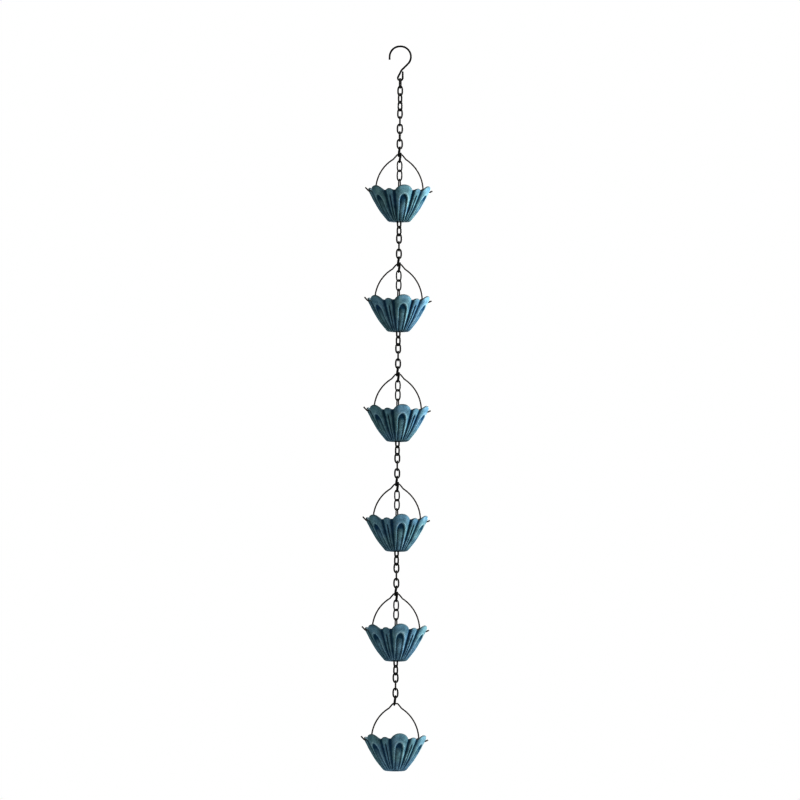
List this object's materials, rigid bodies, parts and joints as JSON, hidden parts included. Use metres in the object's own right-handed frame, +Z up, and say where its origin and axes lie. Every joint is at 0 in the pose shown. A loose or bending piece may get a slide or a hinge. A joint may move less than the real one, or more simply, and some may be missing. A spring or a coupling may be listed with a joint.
{
  "type": "rain chain",
  "caption": "Hanging rain chain of fluted flower cups on wire bails, joined by oval links under an open wire hook.",
  "frame": {"origin": "the bearing point inside the top of the hook", "axes": "+Z up along the chain; the hook lies in the XZ plane, its open end towards -X, and the rod it hangs on runs along +Y"},
  "size_m": [0.1005, 0.0988, 1.0778],
  "materials": {
    "cup_patina": "matt blue-green patina over metal, darker in the grooves",
    "hook_wire": "satin black",
    "chain_wire": "satin black",
    "joining_wire": "satin black",
    "bail_wire": "satin black"
  },
  "bodies": {
    "root": {"hook": "hook_wire", "upper_chain": "chain_wire", "bail_1": "bail_wire", "cup_1": "cup_patina", "hanger_link_1": "chain_wire", "joining_links_1": "joining_wire", "inner_chain_1": "chain_wire", "outer_chain_1": "chain_wire", "bail_2": "bail_wire", "cup_2": "cup_patina", "hanger_link_2": "chain_wire", "joining_links_2": "joining_wire", "inner_chain_2": "chain_wire", "outer_chain_2": "chain_wire", "bail_3": "bail_wire", "cup_3": "cup_patina", "hanger_link_3": "chain_wire", "joining_links_3": "joining_wire", "inner_chain_3": "chain_wire", "outer_chain_3": "chain_wire", "bail_4": "bail_wire", "cup_4": "cup_patina", "hanger_link_4": "chain_wire", "joining_links_4": "joining_wire", "inner_chain_4": "chain_wire", "outer_chain_4": "chain_wire", "bail_5": "bail_wire", "cup_5": "cup_patina", "hanger_link_5": "chain_wire", "joining_links_5": "joining_wire", "inner_chain_5": "chain_wire", "outer_chain_5": "chain_wire", "bail_6": "bail_wire", "cup_6": "cup_patina"}
  },
  "joints": []
}
